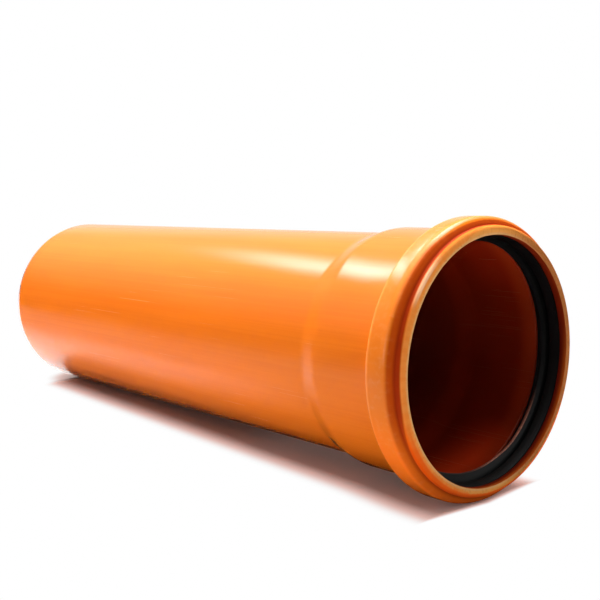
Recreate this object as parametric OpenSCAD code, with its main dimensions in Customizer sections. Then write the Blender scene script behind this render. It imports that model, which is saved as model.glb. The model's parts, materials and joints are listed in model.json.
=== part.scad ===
// PVC-U sewer pipe, DN/OD 160: one length of extruded pipe with its socket belled in at one end,
// and the rubber sealing ring that sits in the socket's bead.
//
// Outlines are drawn in a half section: x is the distance from the mouth, y the distance from
// the pipe's axis. A corner is written [distance, radius, rounding].

/* [Pipe] */
// Outside diameter of the pipe and its spigot
pipe_od = 160; // [110:5:250]
// Wall of the plain pipe
wall = 4; // [3:0.1:6]
// Length from the mouth to the spigot's end
overall_length = 527; // [250:1:2000]
// Length of the chamfer round the spigot's end
chamfer_length = 6; // [2:0.5:7]
// Angle of that chamfer to the axis
chamfer_angle = 15; // [10:1:16]

/* [Socket] */
// Gap round a full-size spigot in the sleeve, measured on the radius
sleeve_gap = 0.3; // [0.2:0.05:0.5]
// Wall of the sleeve, stretched a little thinner than the pipe's
sleeve_wall = 3.9; // [3:0.1:6]
// Distance from the mouth to the end of the sleeve
sleeve_end = 79; // [60:1:120]
// Length of the taper from the sleeve down to the plain pipe
taper_length = 15; // [15:1:40]
// Rounding where the taper starts and ends
taper_rounding = 24; // [5:1:30]

/* [Neck and bead] */
// Gap round a spigot in the neck, measured on the radius
neck_gap = 0.7; // [0.4:0.1:1.2]
// Length of the neck inside the mouth
neck_length = 5.4; // [4.5:0.1:6]
// Thickness of the neck, whose sawn end is the rim
rim_wall = 6.5; // [6:0.1:7]
// Rounding of the rim's outer edge
rim_rounding = 2.9; // [1:0.1:3]
// Distance from the mouth to the corner between the neck and the bead
corner_place = 4.6; // [4.4:0.1:5]
// How far that corner lies below the rim's edge
corner_dip = 0.3; // [0.1:0.1:0.8]
// Height of the bead over the plain pipe
bead_height = 12.5; // [11:0.1:14]
// Distance from the mouth to the bead's front edge
bead_front = 7.2; // [6.5:0.1:8]
// Distance from the mouth to the bead's rear edge
bead_rear = 23.9; // [23:0.1:26]
// Length that the bead's steep rear shoulder takes
shoulder_length = 3.3; // [3:0.1:8]

/* [Groove and sealing ring] */
// Wall of the bead over the groove's floor
bead_wall = 3.8; // [3:0.1:4.5]
// Distance from the mouth to the front of the groove's floor
groove_front = 9; // [8.8:0.1:10]
// Distance from the mouth to the rear of the groove's floor
groove_rear = 21.9; // [20:0.1:22]
// Distance from the mouth to the sleeve's own edge behind the groove
sleeve_start = 24.6; // [24:0.1:26]
// Room between a spigot and the ring as fitted, measured on the radius
ring_gap = 0.2; // [0.15:0.05:0.3]
// Depth of the channel between the ring's two lobes
channel_depth = 3; // [1:0.1:4]
// Width of that channel's floor
channel_width = 1.2; // [0.8:0.1:2]

/* [Hidden] */
$fn = 180;
arc_steps = 8;

pipe_r = pipe_od / 2;
bore_r = pipe_r - wall;
sleeve_r = pipe_r + sleeve_gap;
sleeve_outer_r = sleeve_r + sleeve_wall;
neck_r = pipe_r + neck_gap;
rim_r = neck_r + rim_wall;
corner_r = rim_r - corner_dip;
bead_r = pipe_r + bead_height;
groove_r = bead_r - bead_wall;
shoulder_end = bead_rear + shoulder_length;
taper_end = sleeve_end + taper_length;
chamfer_start = overall_length - chamfer_length;
chamfer_r = pipe_r - chamfer_length * tan(chamfer_angle);
edge_break = 0.4;

// The pipe's outside, from the mouth to the spigot's end
outer_corners = [
    [0, rim_r, rim_rounding],
    [corner_place, corner_r, 0.6],
    [bead_front, bead_r, 3.2],
    [bead_rear, bead_r, 3],
    [shoulder_end, sleeve_outer_r, 2],
    [sleeve_end, sleeve_outer_r, taper_rounding],
    [taper_end, pipe_r, taper_rounding],
    [chamfer_start, pipe_r, 1],
    [overall_length, chamfer_r, edge_break],
];

// The pipe's inside, from the spigot's end back to the mouth
inner_corners = [
    [overall_length, bore_r, edge_break],
    [taper_end, bore_r, taper_rounding],
    [sleeve_end, sleeve_r, taper_rounding],
    [sleeve_start, sleeve_r, 0.7],
    [groove_rear, groove_r, 1.5],
    [groove_front, groove_r, 1.5],
    [neck_length, neck_r, 1],
    [0, neck_r, edge_break],
];

// The ring fills the groove: its back meets both of the groove's walls from this radius outwards
ring_edge_r = neck_r + 1.3;
ring_back_corners = [
    on_line([sleeve_start, sleeve_r], [groove_rear, groove_r], ring_edge_r),
    [groove_rear, groove_r, 1.5],
    [groove_front, groove_r, 1.5],
    on_line([neck_length, neck_r], [groove_front, groove_r], ring_edge_r),
];

// The ring's face, from front to rear: a front lobe, a channel and a rear lobe
ring_r = pipe_r + ring_gap;
front_lobe_r = ring_r + 0.2;
channel_r = ring_r + channel_depth;
lobe_slope = 1;
channel_front = (neck_length + sleeve_start - channel_width) / 2;
channel_rear = channel_front + channel_width;
ring_face_corners = [
    [neck_length + 1, front_lobe_r, 0.7],
    [channel_front - lobe_slope, front_lobe_r, 1.2],
    [channel_front, channel_r, 0.5],
    [channel_rear, channel_r, 0.5],
    [channel_rear + lobe_slope, ring_r, 1.2],
    [sleeve_start - 1.4, ring_r, 0.7],
];

pipe_outline = rounded(concat(outer_corners, inner_corners));
ring_outline = rounded(concat(ring_back_corners, ring_face_corners));

// Lying on a floor, the pipe touches it with the bead's rear edge and the spigot's last full
// round, so its axis falls a little towards the spigot
tilt = max([
    for (p = pipe_outline)
        if (p.x < taper_end) atan2(p.y - pipe_r, chamfer_start - p.x)
]);
mouth_height = chamfer_start * sin(tilt) + pipe_r * cos(tilt);
front_x = max([for (p = pipe_outline) p.y * sin(tilt) - p.x * cos(tilt)]);
back_x = min([for (p = pipe_outline) -p.y * sin(tilt) - p.x * cos(tilt)]);

function unit(v) = v / norm(v);

function flat(corner) = [corner.x, corner.y];

// The sharp corner at radius y on the line from a to b
function on_line(a, b, y) =
    let(p = a + (b - a) * (y - a.y) / (b.y - a.y))
        [p.x, p.y, 0];

// Points along the rounding at b, on the way from a to c
function rounding(a, b, c, radius) =
    let(
        u = unit(a - b),
        v = unit(c - b),
        half = acos(u * v) / 2,
        centre = b + unit(u + v) * radius / sin(half),
        start = b + u * radius / tan(half) - centre,
        first = atan2(start.y, start.x),
        sweep = (180 - 2 * half) * (cross(u, v) < 0 ? 1 : -1)
    )
        [
            for (i = [0 : arc_steps])
                let(angle = first + sweep * i / arc_steps)
                    centre + radius * [cos(angle), sin(angle)]
        ];

// An outline with each of its corners rounded as its third number says
function rounded(corners) = [
    for (i = [0 : len(corners) - 1])
        let(
            before = flat(corners[(i + len(corners) - 1) % len(corners)]),
            here = flat(corners[i]),
            after = flat(corners[(i + 1) % len(corners)]),
            radius = corners[i].z
        )
            each radius > 0 ? rounding(before, here, after, radius) : [here]
];

// Turns an outline round the pipe's axis and lays the result on the floor
module turned(outline) {
    translate([-(front_x + back_x) / 2, 0, mouth_height])
        rotate([0, -90 - tilt, 0])
            rotate_extrude()
                polygon([for (p = outline) [p.y, p.x]]);
}

module pipe() {
    color("#E86A1C")
        turned(pipe_outline);
}

module sealing_ring() {
    color("#1A1A1A")
        turned(ring_outline);
}

pipe();
sealing_ring();
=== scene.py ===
# %% [markdown]
# # A PVC-U sewer pipe with its rubber sealing ring
#
# The pipe is extruded from orange PVC-U. One end is then heated and belled over a tool, which
# forms the socket: a neck at the mouth, a raised bead, a sleeve, and a taper down to the plain
# pipe. A black rubber ring lies in the groove inside the bead. The imported model is the frame
# that everything here is fitted to, so it is loaded first.

# %% Load the imported model
import json
import math

import bmesh
import bpy
from mathutils import Matrix, Vector, noise


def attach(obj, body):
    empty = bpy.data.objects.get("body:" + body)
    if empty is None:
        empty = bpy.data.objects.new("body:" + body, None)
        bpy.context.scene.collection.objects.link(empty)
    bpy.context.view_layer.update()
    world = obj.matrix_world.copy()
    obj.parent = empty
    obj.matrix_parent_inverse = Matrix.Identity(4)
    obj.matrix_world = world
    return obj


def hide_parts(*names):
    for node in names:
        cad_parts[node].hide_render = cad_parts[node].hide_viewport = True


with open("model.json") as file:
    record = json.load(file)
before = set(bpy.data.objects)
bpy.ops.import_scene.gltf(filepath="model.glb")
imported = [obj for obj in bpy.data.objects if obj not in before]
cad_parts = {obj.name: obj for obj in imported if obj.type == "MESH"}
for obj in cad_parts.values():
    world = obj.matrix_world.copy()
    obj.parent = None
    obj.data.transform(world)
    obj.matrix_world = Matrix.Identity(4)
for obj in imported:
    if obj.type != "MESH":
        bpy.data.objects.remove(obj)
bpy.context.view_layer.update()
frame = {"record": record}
MM = 0.001

# %% [markdown]
# ## The pipe's own axes
#
# The pipe rests on its bead and on its spigot, so it lies a little tilted. It is far easier to
# draw it straight, and to turn the finished mesh once. The record says where the socket's
# mount is and which way it faces, and the mouth lies a known distance further out. In the
# pipe's own axes x runs from the mouth into the pipe, z is up and y completes the three.

# %% Find the mouth and the turn
MOUNT_DEPTH = 50.37 * MM
mounts = {mount["name"]: mount for mount in frame["record"]["mounts"]}
outward = Vector(mounts["socket"]["axis"]).normalized()
mouth = Vector(mounts["socket"]["pos_m"]) + MOUNT_DEPTH * outward

along = -outward
side = Vector((0, -1, 0))
upward = along.cross(side)
turn = Matrix((along, side, upward)).transposed()
placing = Matrix.Translation(mouth) @ turn.to_4x4()
tilt = math.degrees(math.asin(outward.z))
print("mouth at", tuple(round(c, 5) for c in mouth), "tilt", round(tilt, 3))

# %% [markdown]
# ## An outline, spun
#
# Extrusion and belling both leave a shape that is round about one axis, so its half section is
# the whole of it. A corner of the section is written as its distance from the mouth, its radius
# and its rounding in millimetres, and the number of facets across the rounding. A flat face
# through the corners gets each corner bevelled as a vertex, which draws the arc. Then only the
# face's edges are kept and spun a full turn.

# %% Outline and spin helpers


def outline(corners):
    """A bmesh with one face through the corners, each rounded off."""
    bm = bmesh.new()
    points = [Vector((place, 0, radius)) * MM for place, radius, _, _ in corners]
    bm.faces.new([bm.verts.new(point) for point in points])
    for i, (_, _, rounding, facets) in enumerate(corners):
        before = (points[i - 1] - points[i]).normalized()
        after = (points[(i + 1) % len(points)] - points[i]).normalized()
        half_angle = before.angle(after) / 2
        corner = min(bm.verts, key=lambda v: (v.co - points[i]).length)
        bmesh.ops.bevel(
            bm, geom=[corner], affect="VERTICES", offset_type="OFFSET",
            offset=rounding * MM / math.tan(half_angle), segments=facets,
            profile=0.5, material=-1, clamp_overlap=False,
        )
    return bm


def share_out(bm, longest):
    """Cuts each edge of the outline that is longer than this, so shading stays even."""
    for edge in [e for e in bm.edges if e.calc_length() > longest]:
        cuts = math.ceil(edge.calc_length() / longest) - 1
        bmesh.ops.subdivide_edges(bm, edges=[edge], cuts=cuts)


def sort_faces(bm):
    """Sorts the faces by their vertices, because spin leaves them in a new order each run."""
    bm.verts.index_update()
    count = len(bm.verts)

    def place(face):
        numbers = [v.index for v in face.verts]
        return min(numbers) * count + max(numbers)

    bm.faces.sort(key=place)


def spun(corners, name, longest, steps):
    """Spins the outline about the pipe's axis and returns the bmesh as a closed skin."""
    bm = outline(corners)
    share_out(bm, longest)
    bmesh.ops.delete(bm, geom=bm.faces[:], context="FACES_ONLY")
    bmesh.ops.spin(
        bm, geom=bm.verts[:] + bm.edges[:], cent=(0, 0, 0), axis=(1, 0, 0),
        dvec=(0, 0, 0), angle=2 * math.pi, steps=steps, use_merge=True,
    )
    bmesh.ops.remove_doubles(bm, verts=bm.verts, dist=0.001 * MM)
    bmesh.ops.recalc_face_normals(bm, faces=bm.faces)
    sort_faces(bm)
    print(name, len(bm.verts), "vertices", len(bm.faces), "faces")
    return bm


# %% [markdown]
# ## From a mesh to a piece
#
# Each of the two pieces stands for the imported solid of the same thing, which is hidden,
# rides with the root body, and takes the finish it is given. The mesh is turned into place and
# the object stays at the origin, as the imported ones do.

# %% Piece helper


def finished(bm, name, material, node):
    """Turns the bmesh into place and makes it a piece that stands for a CAD node."""
    bmesh.ops.transform(bm, matrix=placing, verts=bm.verts)
    mesh = bpy.data.meshes.new(name)
    bm.to_mesh(mesh)
    bm.free()
    mesh.polygons.foreach_set("use_smooth", [True] * len(mesh.polygons))
    mesh.materials.append(material)
    piece = bpy.data.objects.new(name, mesh)
    bpy.context.scene.collection.objects.link(piece)
    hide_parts(node)
    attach(piece, "root")
    print(name, "stands for", node)


# %% [markdown]
# ## Shader sums as Python expressions
#
# The finishes are built from masks: where the saw cut, where the bead rubs, where a scratch
# runs. Writing such sums as Math nodes one by one is slow to read, so a small class wraps a
# socket and lets +, -, * and / add the Math nodes. A mask starts and ends softly, which is what
# `ramp` draws, and as most masks follow a distance, `over` and `band` take millimetres. Any
# other node comes from `node`, which sets the node first and then the values or links of its
# sockets.

# %% Shader values


class Value:
    """A number that varies over the surface: one output socket, with arithmetic."""

    def __init__(self, shader, socket):
        self.shader, self.socket = shader, socket

    def maths(self, operation, *others):
        inputs = dict(enumerate((self,) + others))
        return self.shader.node("ShaderNodeMath", {"operation": operation}, inputs)[0]

    def flipped(self, operation, other):
        settings = {"operation": operation}
        return self.shader.node("ShaderNodeMath", settings, {0: other, 1: self})[0]

    def __add__(self, other):
        return self.maths("ADD", other)

    def __radd__(self, other):
        return self.maths("ADD", other)

    def __sub__(self, other):
        return self.maths("SUBTRACT", other)

    def __rsub__(self, other):
        return self.flipped("SUBTRACT", other)

    def __mul__(self, other):
        return self.maths("MULTIPLY", other)

    def __rmul__(self, other):
        return self.maths("MULTIPLY", other)

    def __truediv__(self, other):
        return self.maths("DIVIDE", other)

    def at_least(self, *others):
        """The greatest of this and the others, which joins masks."""
        greatest = self
        for other in others:
            greatest = greatest.maths("MAXIMUM", other)
        return greatest

    def ramp(self, low, high, start=0.0, end=1.0):
        """Goes smoothly from start to end while this goes from low to high."""
        settings = {"interpolation_type": "SMOOTHSTEP"}
        inputs = {"Value": self, "From Min": low, "From Max": high, "To Min": start, "To Max": end}
        return self.shader.node("ShaderNodeMapRange", settings, inputs)["Result"]

    def over(self, low, high, start=0.0, end=1.0):
        """A ramp over a distance, from low to high in millimetres."""
        return self.ramp(low * MM, high * MM, start, end)

    def band(self, rise, top, fall, foot):
        """1 from top to fall and 0 before rise and past foot, in millimetres."""
        return self.over(rise, top) * self.over(foot, fall)


class Outputs:
    """A node's outputs by number or name, each as a Value."""

    def __init__(self, shader, node):
        self.shader, self.made = shader, node

    def __getitem__(self, key):
        return Value(self.shader, self.made.outputs[key])


# %% Shader trees


class Shader:
    """A material, world or lamp node tree, with a few patterns that the finishes share."""

    def __init__(self, owner):
        owner.use_nodes = True
        self.name, self.tree = owner.name, owner.node_tree
        self.tree.nodes.clear()

    def node(self, kind, settings=None, inputs=None):
        made = self.tree.nodes.new(kind)
        for key, value in (settings or {}).items():
            setattr(made, key, value)
        for key, value in (inputs or {}).items():
            if isinstance(value, Value):
                self.tree.links.new(value.socket, made.inputs[key])
            else:
                made.inputs[key].default_value = value
        return Outputs(self, made)

    def mixed(self, factor, a, b):
        """Colour a where the factor is 0 and b where it is 1."""
        inputs = {"Factor": factor, 6: a, 7: b}
        return self.node("ShaderNodeMix", {"data_type": "RGBA"}, inputs)[2]

    def layered(self, colour, *layers):
        """The colour with each layer laid over it through the layer's mask."""
        for mask, paint in layers:
            colour = self.mixed(mask, colour, paint)
        return colour

    def vector(self, x, y, z):
        return self.node("ShaderNodeCombineXYZ", None, {"X": x, "Y": y, "Z": z})[0]

    def noise(self, vector, detail, roughness=0.5):
        inputs = {"Vector": vector, "Scale": 1, "Detail": detail, "Roughness": roughness}
        return self.node("ShaderNodeTexNoise", None, inputs)["Fac"]

    def bumps(self, *layers):
        """The normal of a surface with relief, each layer a height, a depth in mm, a strength."""
        normal = None
        for height, depth, strength in layers:
            inputs = {"Height": height, "Distance": depth * MM, "Strength": strength}
            if normal is not None:
                inputs["Normal"] = normal
            normal = self.node("ShaderNodeBump", None, inputs)[0]
        return normal

    def ends_in(self, kind, surface):
        self.node(kind, None, {"Surface": surface})
        print(self.name, "has", len(self.tree.nodes), "nodes")

    def tell(self, made):
        print(made, "made,", len(self.tree.nodes), "nodes so far")


def new_material(name):
    material = bpy.data.materials.new(name)
    return material, Shader(material)


# %% [markdown]
# ## Patterns that follow the pipe
#
# Everything that made or wore this surface ran along the pipe or round it, so its patterns are
# drawn on the pipe's own axes: the distance from the mouth, the radius, and the angle round the
# axis. The angle itself jumps where it starts again, so its two cosines stand for it. cos_z is
# 1 along the top and -1 along the bottom, and cos_y is 1 on the near side, where the camera
# stands, and -1 on the far side.

# %% Axes and grain for the materials


def pipe_axes(shader):
    """Distance from the mouth, radius, and the two cosines of the angle round the axis."""
    place = shader.node("ShaderNodeTexCoord")["Object"]
    own = shader.node("ShaderNodeMapping", {"vector_type": "TEXTURE"}, {
        "Vector": place, "Location": mouth, "Rotation": turn.to_euler(),
    })[0]
    split = shader.node("ShaderNodeSeparateXYZ", None, {0: own})
    s, y, z = split["X"], split["Y"], split["Z"]
    radius = (y * y + z * z).maths("SQRT")
    return s, radius, y / radius, z / radius


def grain(axes, around, along, detail, roughness=0.5):
    """Noise on the skin: the higher around and along are, the finer it is in that direction."""
    s, _, cos_y, cos_z = axes
    vector = s.shader.vector(cos_y * around, cos_z * around, s * along)
    return s.shader.noise(vector, detail, roughness)


# %% [markdown]
# ## The PVC
#
# Fresh PVC-U is a saturated orange with a gloss that comes from the smooth die it left. It
# isn't perfect: the die leaves faint lines along the pipe, handling leaves fine scratches in the
# same direction, and the bead, which stands proud, rubs against its neighbours and goes chalky.
# The saw leaves the rim and the spigot's end pale and rough. Each of these is a mask from 0 to
# 1, and its colour is laid over the last through it, as paint through a stencil.

# %% PVC material: die lines, and a slow drift of the colour
ORANGE = (0.77, 0.166, 0.009, 1)
DEEP_ORANGE = (0.72, 0.144, 0.007, 1)

pvc, sh = new_material("pvc_orange_gloss")
axes = pipe_axes(sh)
s, radius, cos_y, cos_z = axes
die = grain(axes, around=60, along=3, detail=3)
broad = grain(axes, around=3, along=5, detail=2)
peel = grain(axes, around=14, along=60, detail=2)
colour = sh.mixed((die * 0.4 + broad * 0.6).ramp(0.35, 0.65), DEEP_ORANGE, ORANGE)
sh.tell("plain colour")

# %% The bead's crest, with a painted highlight along its rear edge
BEAD_ORANGE = (0.78, 0.178, 0.010, 1)
EDGE_PAINTED_HIGHLIGHT = (0.95, 0.28, 0.045, 1)

crest = radius.over(88, 92)
# The edge mask lays a painted highlight, a pale reflection, along the bead's rear edge.
edge = s.band(20.8, 22.4, 23.8, 25.2) * radius.over(90, 91)
colour = sh.layered(colour, (crest, BEAD_ORANGE), (edge * 0.6, EDGE_PAINTED_HIGHLIGHT))
sh.tell("crest")

# %% [markdown]
# ## Where orange lights orange
#
# In the hollow between the neck and the bead, under the bead and inside the bore, most of the
# light has already bounced off orange plastic, and each bounce takes more of the green and the
# blue out of it. A renderer follows part of that, and the rest is painted into the colours: the
# hollow and its foot get painted shade, deeper and redder colours of their own, the bore painted
# light and shade, and the undersides of the bead and the neck a painted red bounce light. The
# masks follow the shape: `low` is the underside, and `lit_top` keeps the painted shade of the
# hollow narrow on top and on the upper far side, where it is open to the light from above.

# %% Painted shade in the hollow in front of the bead, and painted bounce light on the bead's underside
HOLLOW_PAINTED_SHADE = (0.50, 0.062, 0.001, 1)
BEAD_UNDERSIDE_PAINTED_BOUNCE = (1.0, 0.19, 0.012, 1)

low = cos_z.ramp(-0.15, -0.6)
lit_top = cos_z.ramp(0.8, 0.97).at_least(cos_y.ramp(0.1, -0.3) * cos_z.ramp(0, 0.4))
hollow_shade = (radius + lit_top * (1.5 * MM)).over(92.4, 91) * s.band(1.5, 4.5, 9.5, 12)
colour = sh.layered(colour, (crest * low, BEAD_UNDERSIDE_PAINTED_BOUNCE), (hollow_shade * (1 - low * 0.5), HOLLOW_PAINTED_SHADE))
sh.tell("hollow_shade")

# %% Painted shade in the corner at the hollow's foot, which reaches further forward on the underside
shaded = s - cos_z.ramp(0, 0.8) * (1.5 * MM) - low * (2.6 * MM)
corner = shaded.over(0.3, 1.7) * s.over(8, 5.5)
corner = corner * radius.band(85.8, 86.6, 87.2, 89.2) * (1 - low * 0.4)
sh.tell("corner")

# %% [markdown]
# ## Wear
#
# A scratch is a third of a millimetre wide and a tenth of a metre long, because pipes slide
# lengthwise in a stack, and scratches come in groups, where something hard lay against the
# pipe. A noise that is stretched along the pipe draws the scratches and a broad one the groups.
# The crest is rubbed in patches, and specks of dirt stick to the skin here and there.

# %% Scratches
RUBBED = (0.90, 0.42, 0.16, 1)

lines = grain(axes, around=260, along=9, detail=0)
groups = grain(axes, around=4, along=14, detail=1)
scratches = lines.ramp(0.75, 0.83) * groups.ramp(0.52, 0.64)
colour = sh.mixed(scratches * 0.25, colour, RUBBED)
sh.tell("scratches")

# %% Rubbing on the crest, and specks of dirt
DIRT = (0.30, 0.07, 0.02, 1)

fine = grain(axes, around=90, along=900, detail=4, roughness=0.65)
patches = grain(axes, around=22, along=200, detail=3, roughness=0.6)
grains = grain(axes, around=75, along=900, detail=1)
rubbed = crest * patches.ramp(0.45, 0.8)
specks = grains.ramp(0.80, 0.85)
colour = sh.layered(colour, (rubbed * 0.12, RUBBED), (specks * 0.45, DIRT))
sh.tell("rubbing and specks")

# %% The neck's rounded front, paler from handling, with painted bounce light underneath and a glossy spot with a painted highlight high on the near side
NECK_UNDERSIDE_PAINTED_BOUNCE = (0.82, 0.090, 0.001, 1)
LIP_ORANGE = (0.80, 0.26, 0.045, 1)
GLINT_PAINTED_HIGHLIGHT = (0.95, 0.62, 0.36, 1)
CORNER_PAINTED_SHADE = (0.36, 0.028, 0.001, 1)

lip = s.over(4.4, 3.4)
pale_lip = s.over(2.2, 0.5) * radius.over(87.2, 86, 0.4, 1)
pale_lip = pale_lip * (0.6 + patches.ramp(0.3, 0.7) * 0.4)
pale_lip = pale_lip * (1 - low * 0.85 * radius.over(83.5, 85))
glossy_painted_glint = cos_z.ramp(0.46, 0.6) * cos_z.ramp(0.84, 0.68) * cos_y.ramp(0.2, 0.5)
glossy_painted_glint = glossy_painted_glint * lip * radius.over(84.5, 85.5) * s.over(2.6, 1.4)
colour = sh.layered(
    colour, (low * lip, NECK_UNDERSIDE_PAINTED_BOUNCE), (pale_lip, LIP_ORANGE), (glossy_painted_glint * 0.6, GLINT_PAINTED_HIGHLIGHT),
    (corner, CORNER_PAINTED_SHADE),
)
sh.tell("neck")

# %% [markdown]
# ## The inside
#
# The inside skin is the same plastic, but no sizing sleeve smoothed it as it cooled, so its
# gloss is a little duller, and the light hardly reaches it. Its colours are painted light and
# shade: painted shade on the sides, deeper towards the far end and inside the neck, and painted
# light on the top, along the bottom and near the mouth, where the light from the mouth falls, and
# on the neck's inner edge, most along the bottom. A surface half-way through the wall tells the
# inside from the outside, and it follows the taper.

# %% The inside's painted light and shade, from the sides and the top to the edge of the neck
BORE_SIDE_PAINTED_SHADE = (0.22, 0.013, 0.001, 1)
BORE_TOP_PAINTED_LIGHT = (0.33, 0.017, 0.002, 1)
BORE_DEEP_PAINTED_SHADE = (0.19, 0.011, 0.001, 1)
BORE_BOTTOM_PAINTED_LIGHT = (1.0, 0.075, 0.012, 1)
BORE_FRONT_PAINTED_LIGHT = (0.42, 0.040, 0.006, 1)
BORE_NECK_PAINTED_SHADE = (0.20, 0.012, 0.001, 1)
NECK_EDGE_PAINTED_LIGHT = (0.50, 0.080, 0.008, 1)

half_way = s.over(76, 97, 82.2 * MM, 78 * MM)
inside = (half_way - radius).over(-0.3, 0.3)
bore = sh.layered(
    BORE_SIDE_PAINTED_SHADE,
    (cos_z.ramp(0.3, 0.9), BORE_TOP_PAINTED_LIGHT),
    (s.over(50, 120), BORE_DEEP_PAINTED_SHADE),
    (cos_z.ramp(-0.62, -0.98) * s.over(75, 24), BORE_BOTTOM_PAINTED_LIGHT),
    (s.over(42, 26) * 0.6, BORE_FRONT_PAINTED_LIGHT),
    (s.over(12, 8), BORE_NECK_PAINTED_SHADE),
    (s.over(4, 0.5) * cos_z.ramp(0.3, -0.2, 0.15, 1), NECK_EDGE_PAINTED_LIGHT),
)
colour = sh.mixed(inside, colour, bore)
sh.tell("inside")

# %% [markdown]
# ## The sawn ends
#
# The saw cuts across the wall and leaves a pale, torn face with the teeth's marks across it.
# Its inner edge is worn palest, where spigots knock against it, and the far side is darker
# with painted shade, mixed with grime that comes and goes at random. The rounding of the neck's
# front eats into the face, so the pale band is narrower on the near side and along the bottom.
# Noises make the edge of the band ragged, because a clean line would look printed.

# %% Where the saw cut
LENGTH = 527

ragged = (fine - 0.5) * (0.5 * MM)
mottle = sh.noise(sh.vector(cos_y * 40, cos_z * 40, radius * 250), 3, 0.6)
teeth = sh.noise(sh.vector(cos_y * 200, cos_z * 30, radius * 700), 3, 0.6)
narrowed = (cos_y.ramp(0.1, 0.4) * 3.6).at_least(low * 2.3)
pale_to = 86.2 * MM - narrowed * MM + (mottle - 0.5) * (3 * MM)
rim = (s + ragged).over(1.9, 1.3) * (pale_to - radius).over(-0.5, 0.5)
rim = rim * radius.over(80.75, 80.95)
sawn = rim.at_least((s - ragged).over(LENGTH - 0.5, LENGTH - 0.25))
sh.tell("sawn ends")

# %% The colours of the cut
SAWN = (0.80, 0.32, 0.065, 1)
SAWN_OUTER = (0.82, 0.28, 0.045, 1)
SAWN_INNER = (0.72, 0.36, 0.13, 1)
SAWN_SHADE_AND_GRIME = (0.36, 0.11, 0.025, 1)

worn = (radius + ragged * 3).over(83, 81.4).at_least(teeth.ramp(0.58, 0.75) * 0.6)
# Painted shade darkens the cut on the far side, and the mottle adds a little random grime.
far_shade_and_grime = cos_y.ramp(0, -0.6) * 0.9 + mottle.ramp(0.52, 0.68) * 0.2
cut = sh.layered(
    SAWN, (radius.over(83.6, 85.4), SAWN_OUTER), (worn, SAWN_INNER),
    (far_shade_and_grime.maths("MINIMUM", 1), SAWN_SHADE_AND_GRIME),
)
colour = sh.mixed(sawn, colour, cut)
sh.tell("colours of the cut")

# %% [markdown]
# ## Gloss
#
# The skin is glossy and slightly wavy, which draws long soft reflections down the pipe. The
# bead's front edge is rubbed rougher, and a narrow band along it hardly shines. The cut, the
# handled lip and the hollow are matt. One shader with a high roughness would still catch the
# lamps there as a pale veil, so the matt places get a shader of their own that hardly
# reflects, and a mask mixes the two.

# %% Roughness and relief
front_edge = s.band(7, 8, 10.5, 13) * crest * cos_z.ramp(0.2, 0.7)
roughness = 0.11 + 0.05 * broad + 0.2 * scratches + 0.25 * specks + 0.06 * rubbed
roughness = roughness + 0.3 * front_edge + 0.03 * crest
roughness = roughness + 0.12 * inside + 0.2 * lip + 0.45 * sawn
surface = sh.bumps(
    (peel, 0.12, 0.35),
    (die * (1 - inside), 0.02, 0.35),
    (scratches, -0.03, 0.5),
    (teeth * sawn, 0.10, 0.6),
)
sh.tell("roughness and relief")

# %% The glossy skin and the matt places
glossy = sh.node("ShaderNodeBsdfPrincipled", None, {
    "Base Color": colour, "Roughness": roughness, "IOR": 1.53, "Normal": surface,
})
matte = sh.node("ShaderNodeBsdfPrincipled", None, {
    "Base Color": colour, "Roughness": 0.7, "Specular IOR Level": 0.05, "Normal": surface,
})
quiet = s.band(9, 10.2, 12, 13.5) * crest * cos_z.ramp(0.1, 0.5)
quiet = quiet.at_least(front_edge * cos_y.ramp(0.35, 0.6))
dull = sawn.at_least(lip - glossy_painted_glint * 0.9, hollow_shade, corner, quiet * 0.8)
skin = sh.node("ShaderNodeMixShader", None, {0: dull, 1: glossy[0], 2: matte[0]})
sh.ends_in("ShaderNodeOutputMaterial", skin[0])

# %% [markdown]
# ## The pipe
#
# The outline runs from the mouth over the bead to the spigot's end, and back inside through the
# bore, the sleeve and the groove. Tight roundings get few facets and wide ones more.

# %% Pipe
PIPE_OUTLINE = [
    (0, 87.2, 2.9, 9),  # the rim's outer edge
    (4.6, 86.9, 0.6, 4),  # the foot of the hollow
    (7.2, 92.5, 4.8, 11),  # the bead's front edge
    (23.9, 92.5, 3, 7),  # the bead's rear edge
    (27.2, 84.2, 2, 5),  # the sleeve
    (79, 84.2, 24, 8),  # the taper starts
    (94, 80, 24, 8),  # the plain pipe
    (LENGTH - 6, 80, 1, 2),  # the chamfer
    (LENGTH, 78.39, 0.4, 2),  # the spigot's end
    (LENGTH, 76, 0.4, 2),  # and back inside
    (94, 76, 24, 8),  # the plain bore
    (79, 80.3, 24, 8),  # the sleeve's inside
    (24.6, 80.3, 0.7, 4),  # the groove's rear
    (21.9, 88.7, 1.5, 4),  # the groove's floor
    (9, 88.7, 1.5, 4),
    (5.4, 80.7, 1, 4),  # the groove's front
    (0, 80.7, 0.4, 3),  # the rim's inner edge
]
pipe_bm = spun(PIPE_OUTLINE, "pipe", longest=25 * MM, steps=540)

# %% [markdown]
# ## Burrs and nicks
#
# A saw leaves a burr here and there on the edges of the rim, and handling leaves nicks. Each
# vertex of the rim is pushed back into the pipe by a slow noise that runs round the mouth. Only
# the noise's highest peaks make a nick, and all that it leaves elsewhere is a faint waviness.

# %% Nicks in the rim
RIM_DEPTH = 0.6 * MM
WAVES_ROUND, WAVES_ACROSS = 14, 0.5
WAVINESS = 0.05  # millimetres
NICK_LEVEL, NICK_DEPTH = 0.42, 0.5  # the height of a peak, and millimetres for what is over it

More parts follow.
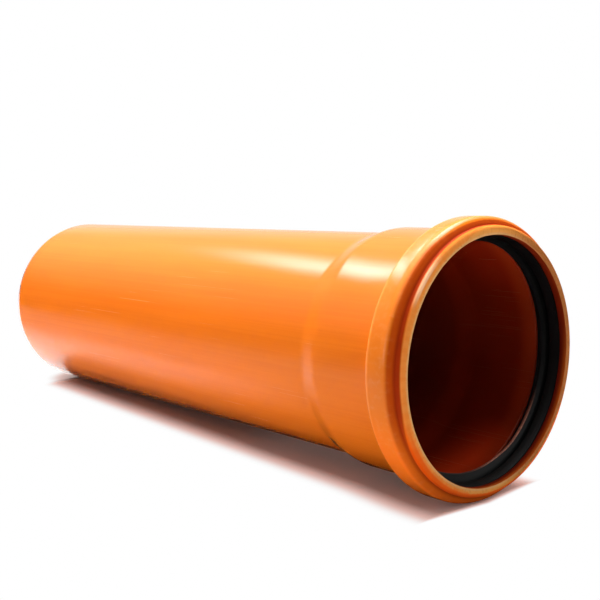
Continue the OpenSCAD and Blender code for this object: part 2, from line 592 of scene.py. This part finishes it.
nicked = 0
for v in pipe_bm.verts:
    if v.co.x < RIM_DEPTH:
        around = Vector((v.co.y, v.co.z, 0)).normalized() * WAVES_ROUND
        across = v.co.yz.length / MM * WAVES_ACROSS
        wave = noise.noise(Vector((around.x, around.y, across)))
        nick = max(0, wave - NICK_LEVEL) * NICK_DEPTH
        nicked += nick > 0
        v.co.x += (WAVINESS * (1 + wave) + nick) * MM
print(nicked, "vertices nicked")
finished(pipe_bm, "pipe_shell", pvc, "pipe")

# %% [markdown]
# ## The rubber
#
# The ring is black rubber: nearly black, satin, with the faint lines of its mould running round
# it and a little dust. Along the bottom the edge of its lip gets a painted warm light, which
# stands in for the light of the lit sleeve close behind it, broken up by the dust.

# %% Rubber material
RUBBER = (0.004, 0.0045, 0.004, 1)
DUSTY_RUBBER = (0.016, 0.017, 0.015, 1)
TIP_PAINTED_LIGHT = (0.60, 0.22, 0.14, 1)
LIP_HANG = 2.06 * MM  # how far the lip hangs in at the very bottom

rubber, sh = new_material("rubber_black_satin")
axes = pipe_axes(sh)
s, radius, cos_y, cos_z = axes
lines = grain(axes, around=2, along=2500, detail=2)
dust = grain(axes, around=70, along=800, detail=4, roughness=0.7)
# Painted warm light along the lip's edge at the bottom, broken up by the dust noise.
painted_tip_light = (radius + cos_z.ramp(-0.8, -1, 0, LIP_HANG)).over(77.3, 76.9)
painted_tip_light = painted_tip_light * cos_z.ramp(-0.35, -0.8) * cos_y.ramp(0.05, -0.35, 0.15, 1)
painted_tip_light = painted_tip_light * (0.5 + dust.ramp(0.35, 0.6) * 0.5)
colour = sh.layered(RUBBER, (dust.ramp(0.5, 0.75) * 0.5, DUSTY_RUBBER), (painted_tip_light, TIP_PAINTED_LIGHT))
surface = sh.bumps((lines, 0.05, 0.5), (dust, 0.03, 0.5))
skin = sh.node("ShaderNodeBsdfPrincipled", None, {
    "Base Color": colour, "Roughness": 0.50 + 0.2 * dust, "IOR": 1.52, "Specular IOR Level": 0.3,
    "Normal": surface,
})
sh.ends_in("ShaderNodeOutputMaterial", skin[0])

# %% [markdown]
# ## The sealing ring
#
# The ring fills the groove and shows two lobes with a gap between them. The front lobe is broad
# and keeps the ring in place. The rear one is a thin lip that leans inwards and does the
# sealing: a spigot pushes it back towards the groove. It is spun from its own outline too.

# %% Ring
RING_OUTLINE = [
    (24.05, 82, 0.05, 1),  # the back, against the groove's rear wall
    (21.9, 88.7, 1.5, 4),
    (9, 88.7, 1.5, 4),
    (5.985, 82, 0.05, 1),  # against the groove's front wall
    (6.3, 80.7, 0.6, 4),  # the front lobe
    (9.0, 79.6, 2.5, 5),
    (12.6, 79.0, 0.9, 5),
    (13.6, 82.6, 0.5, 3),  # the gap
    (14.5, 82.6, 0.5, 3),
    (15.4, 78.8, 3.0, 4),  # the lip
    (17.4, 76.5, 0.5, 4),
    (19.0, 76.8, 0.6, 4),
    (20.2, 79.4, 2.0, 4),
    (23.3, 80.6, 0.6, 4),  # the rear edge
]
ring_bm = spun(RING_OUTLINE, "ring", longest=2 * MM, steps=360)

# %% [markdown]
# ## A lip that hangs
#
# Until a spigot holds it open, the lip relaxes, and along the bottom it stands a little further
# in than elsewhere. The vertices of the lip are drawn towards the axis there, more the nearer
# they are to the bottom and to the lip's edge, with a soft start and end.

# %% The lip hangs in a little at the bottom
HANG_SHARE = 0.027
HANG_STARTS = 0.8  # how far down the lip starts to hang, where 1 is the very bottom
LIP_ROOT, LIP_HEIGHT = 79.5 * MM, 3 * MM
LIP_FROM = 13 * MM  # behind the front lobe

for v in ring_bm.verts:
    reach = v.co.yz.length
    bottom = max(0, (-v.co.z / reach - HANG_STARTS) / (1 - HANG_STARTS))
    inner = min(1, max(0, (LIP_ROOT - reach) / LIP_HEIGHT)) * (v.co.x > LIP_FROM)
    v.co.yz *= 1 - HANG_SHARE * inner * bottom * bottom * (3 - 2 * bottom)
least = min(v.co.yz.length for v in ring_bm.verts)
print("the lip reaches in to a radius of", round(least / MM, 2), "mm")
finished(ring_bm, "sealing_ring_rubber", rubber, "sealing_ring")

# %% [markdown]
# ## The table
#
# A pack shot like this stands on a white table under one big softbox, which hangs over the
# pipe. For the camera a mask keeps only a short contact shadow and lays plain white over
# everything beyond it; the shadow is tinted with painted warm bounce light, gets a painted
# light that lifts it towards the socket, and a painted shadow past the spigot's end. Every other
# ray sees the table's own grey, because a table that bright would flood the inside of the pipe
# with light.
# Light Path tells the rays apart, so three answers are mixed: one for the camera, one for
# reflections and one for the light that bounces back. The table's x and y are the room's, in
# metres: the pipe lies along x, between -0.265 and 0.265, with its mouth at the higher end.
# `near` is half the width of the shadow, and `far` is 0 in it and 1 where the table is white.

# %% The table's top
HALF_TABLE = 6

floor_bm = bmesh.new()
bmesh.ops.create_grid(floor_bm, x_segments=8, y_segments=8, size=HALF_TABLE)
floor_mesh = bpy.data.meshes.new("floor")
floor_bm.to_mesh(floor_mesh)
floor_bm.free()
floor = bpy.data.objects.new("floor", floor_mesh)
bpy.context.scene.collection.objects.link(floor)
print("table", 2 * HALF_TABLE, "m wide")

# %% What the camera sees: a shadow with painted warm bounce light at its soft edge, then white
WHITE = (1, 1, 1, 1)
WARM_PAINTED_BOUNCE = (1, 0.68, 0.62, 1)
SHADOW_HALF_LENGTH, SHADOW_EDGE = 0.25, 0.0355

table, sh = new_material("white_table")
place = sh.node("ShaderNodeTexCoord")["Object"]
split = sh.node("ShaderNodeSeparateXYZ", None, {0: place})
x, y = split["X"], split["Y"]
beyond = (x.maths("ABSOLUTE") - SHADOW_HALF_LENGTH).at_least(0)
near = x.ramp(0.17, 0.24, 0.029, 0.033) - x.ramp(-0.245, -0.262, 0, 0.010)
far = ((beyond * beyond + y * y).maths("SQRT") - near).ramp(0, SHADOW_EDGE)
before_mouth = (x + y.maths("ABSOLUTE") * 0.1).ramp(0.2565, 0.2645)
# Towards the socket at least 5% white is laid into the shadow, a painted light that lifts it.
far = far.at_least(before_mouth, x.ramp(0, 0.09, 0, 0.05))
# shade darkens the table past the spigot's end, a painted shadow, and the warm tint is painted
# bounce light from the orange pipe.
shade = 0.98 * x.ramp(-0.25, -0.257, 1, 0.12)
painted_shadow_and_bounce = sh.vector(shade, shade * 0.82, shade * 0.76)
seen = sh.node("ShaderNodeBsdfDiffuse", None, {"Color": painted_shadow_and_bounce})
painted_bounce_warmth = sh.mixed(far.ramp(0.45, 1.0), WARM_PAINTED_BOUNCE, WHITE)
white = sh.node("ShaderNodeEmission", None, {"Color": painted_bounce_warmth, "Strength": 1})
shown = sh.node("ShaderNodeMixShader", None, {0: far, 1: seen[0], 2: white[0]})
sh.tell("the camera's table")

# %% What the pipe gets back: a dim mirror image, and bounced light that fades with distance
mirrored = 0.11 * y.ramp(-0.5, -0.12) + 0.3 * y.ramp(-0.17, -0.06)
mirrored = mirrored * x.ramp(-0.12, 0.2, 1.1, 0.05) * y.ramp(0.06, 0.15, 1, 0.2)
in_shadow = x.ramp(0.2, 0.26, 0.55, 1)
spread = x.ramp(0.1, 0.3, 0.92, 0.50) * y.ramp(-0.22, -0.09, 1, in_shadow)
spread = spread * y.ramp(-0.9, -0.25, 0.5, 1)
glossy_ray = sh.node("ShaderNodeLightPath")["Is Glossy Ray"]
grey = glossy_ray * mirrored + (1 - glossy_ray) * spread
bounced = sh.node("ShaderNodeBsdfDiffuse", None, {"Color": sh.vector(grey, grey, grey)})
camera_ray = sh.node("ShaderNodeLightPath")["Is Camera Ray"]
both = sh.node("ShaderNodeMixShader", None, {0: camera_ray, 1: bounced[0], 2: shown[0]})
sh.ends_in("ShaderNodeOutputMaterial", both[0])
floor_mesh.materials.append(table)

# %% [markdown]
# ## The room
#
# The camera sees a plain white room. The pipe sees a dim one with a few brighter places, which
# its gloss mirrors: a pale wall beyond the spigot, a haze overhead, a patch of light low on the
# near side, a doorway that the mouth faces, and a skylight above the doorway. Each place is a
# soft spot round one direction, and a dot product says how nearly a ray goes that way.

# %% World
ROOM_LEVEL = 0.03

world = bpy.data.worlds.new("studio")
bpy.context.scene.world = world
sh = Shader(world)
direction = sh.node("ShaderNodeTexCoord")["Generated"]


def towards(*aim):
    """1 where the ray goes towards the aim, and 0 where it goes at a right angle to it."""
    inputs = {0: direction, 1: aim}
    return sh.node("ShaderNodeVectorMath", {"operation": "DOT_PRODUCT"}, inputs)["Value"]


split = sh.node("ShaderNodeSeparateXYZ", None, {0: direction})
x, z = split["X"], split["Z"]
wall = 0.68 * towards(-0.766, 0.643, 0).ramp(0.7, 0.95)
haze = 0.52 * z.ramp(0.05, 0.55) * x.ramp(0.2, -0.3)
front = towards(-0.28, -0.96, 0).ramp(0.9, 0.98) * z.ramp(0.45, 0.2)
doorway = towards(0.84, 0.48, 0.25).ramp(0.85, 0.97)
skylight = towards(0.75, 0.1, 0.65).ramp(0.85, 0.97)
level = ROOM_LEVEL + wall.at_least(haze) + 1.1 * front + 1.0 * doorway + 0.9 * skylight
dim = sh.node("ShaderNodeBackground", None, {"Color": WHITE, "Strength": level})
bright = sh.node("ShaderNodeBackground", None, {"Color": WHITE, "Strength": 1})
camera_ray = sh.node("ShaderNodeLightPath")["Is Camera Ray"]
both = sh.node("ShaderNodeMixShader", None, {0: camera_ray, 1: dim[0], 2: bright[0]})
sh.ends_in("ShaderNodeOutputWorld", both[0])

# %% [markdown]
# ## The lamps
#
# Gloss mirrors the edge of a lamp as sharply as the lamp has it. A real softbox is brightest in
# the middle and fades to its edges, so each lamp here gets a face that does the same, by its
# own amount at each edge. The overhead one gives most of the light. The strip draws the long
# highlight down the pipe's near shoulder, and the kicker catches the roundings of the socket.

# %% Softboxes
HEIGHT = 2.0


def softbox(name, middle, size, turned, brightness, fades):
    """A lamp that looks straight down, given the brightness of its face instead of its power.

    Its face fades out towards its start, its end, its near side and its far side, over the
    lengths in fades.
    """
    lamp = bpy.data.lights.new(name, "AREA")
    lamp.shape = "RECTANGLE"
    lamp.size, lamp.size_y = size
    lamp.energy = brightness * math.pi * lamp.size * lamp.size_y
    lamp_shader = Shader(lamp)
    face = lamp_shader.node("ShaderNodeNewGeometry")["Parametric"]
    face = lamp_shader.node("ShaderNodeSeparateXYZ", None, {0: face})
    length, width = face["X"] * lamp.size, face["Y"] * lamp.size_y
    start, end, near_side, far_side = fades
    glow = length.ramp(0, start) * length.ramp(lamp.size, lamp.size - end)
    glow = glow * width.ramp(0, near_side) * width.ramp(lamp.size_y, lamp.size_y - far_side)
    light = lamp_shader.node("ShaderNodeEmission", None, {"Strength": glow * glow})
    lamp_shader.ends_in("ShaderNodeOutputLight", light[0])
    holder = bpy.data.objects.new(name, lamp)
    holder.location = (*middle, HEIGHT)
    holder.rotation_euler = (0, 0, math.radians(turned))
    bpy.context.scene.collection.objects.link(holder)
    print(name, round(lamp.energy, 1), "W")


softbox(
    "overhead", middle=(-0.25, 0.35), size=(2.5, 2.1), turned=0, brightness=32,
    fades=(0.3, 1.3, 0.75, 0.9),
)
softbox(
    "strip", middle=(-2.257, 0.171), size=(2.64, 1.34), turned=-41.5, brightness=13,
    fades=(2.6, 0.1, 0.67, 0.67),
)
softbox(
    "kicker", middle=(0.5, -1.1), size=(1.8, 0.3), turned=0, brightness=8,
    fades=(0.3, 0.6, 0.15, 0.15),
)

# %% [markdown]
# ## The camera
#
# The camera stands low in front of the mouth and to its side, so that the pipe runs away from
# it. Its place is written from the mouth along its own right, up and back, because then a
# change of angle keeps the mouth where it is in the picture. Standard view keeps the colours as
# they are written.

# %% Camera
LENS, SENSOR = 56.04, 36
AZIMUTH, ELEVATION = math.radians(48.88), math.radians(7.60)
RIGHT, UP, BACK = -0.1232, 0.0395, 0.5927

camera_data = bpy.data.cameras.new("camera")
camera_data.sensor_width = SENSOR
camera_data.lens = LENS
camera = bpy.data.objects.new("camera", camera_data)
bpy.context.scene.collection.objects.link(camera)
view_right = Vector((math.cos(AZIMUTH), math.sin(AZIMUTH), 0))
view_back = Vector((
    math.sin(AZIMUTH) * math.cos(ELEVATION),
    -math.cos(AZIMUTH) * math.cos(ELEVATION),
    math.sin(ELEVATION),
))
view_up = view_back.cross(view_right)
camera.location = mouth + RIGHT * view_right + UP * view_up + BACK * view_back
camera.rotation_euler = Matrix((view_right, view_up, view_back)).transposed().to_euler()
bpy.context.scene.camera = camera
bpy.context.scene.view_settings.view_transform = "Standard"
print("camera at", tuple(round(c, 4) for c in camera.location))
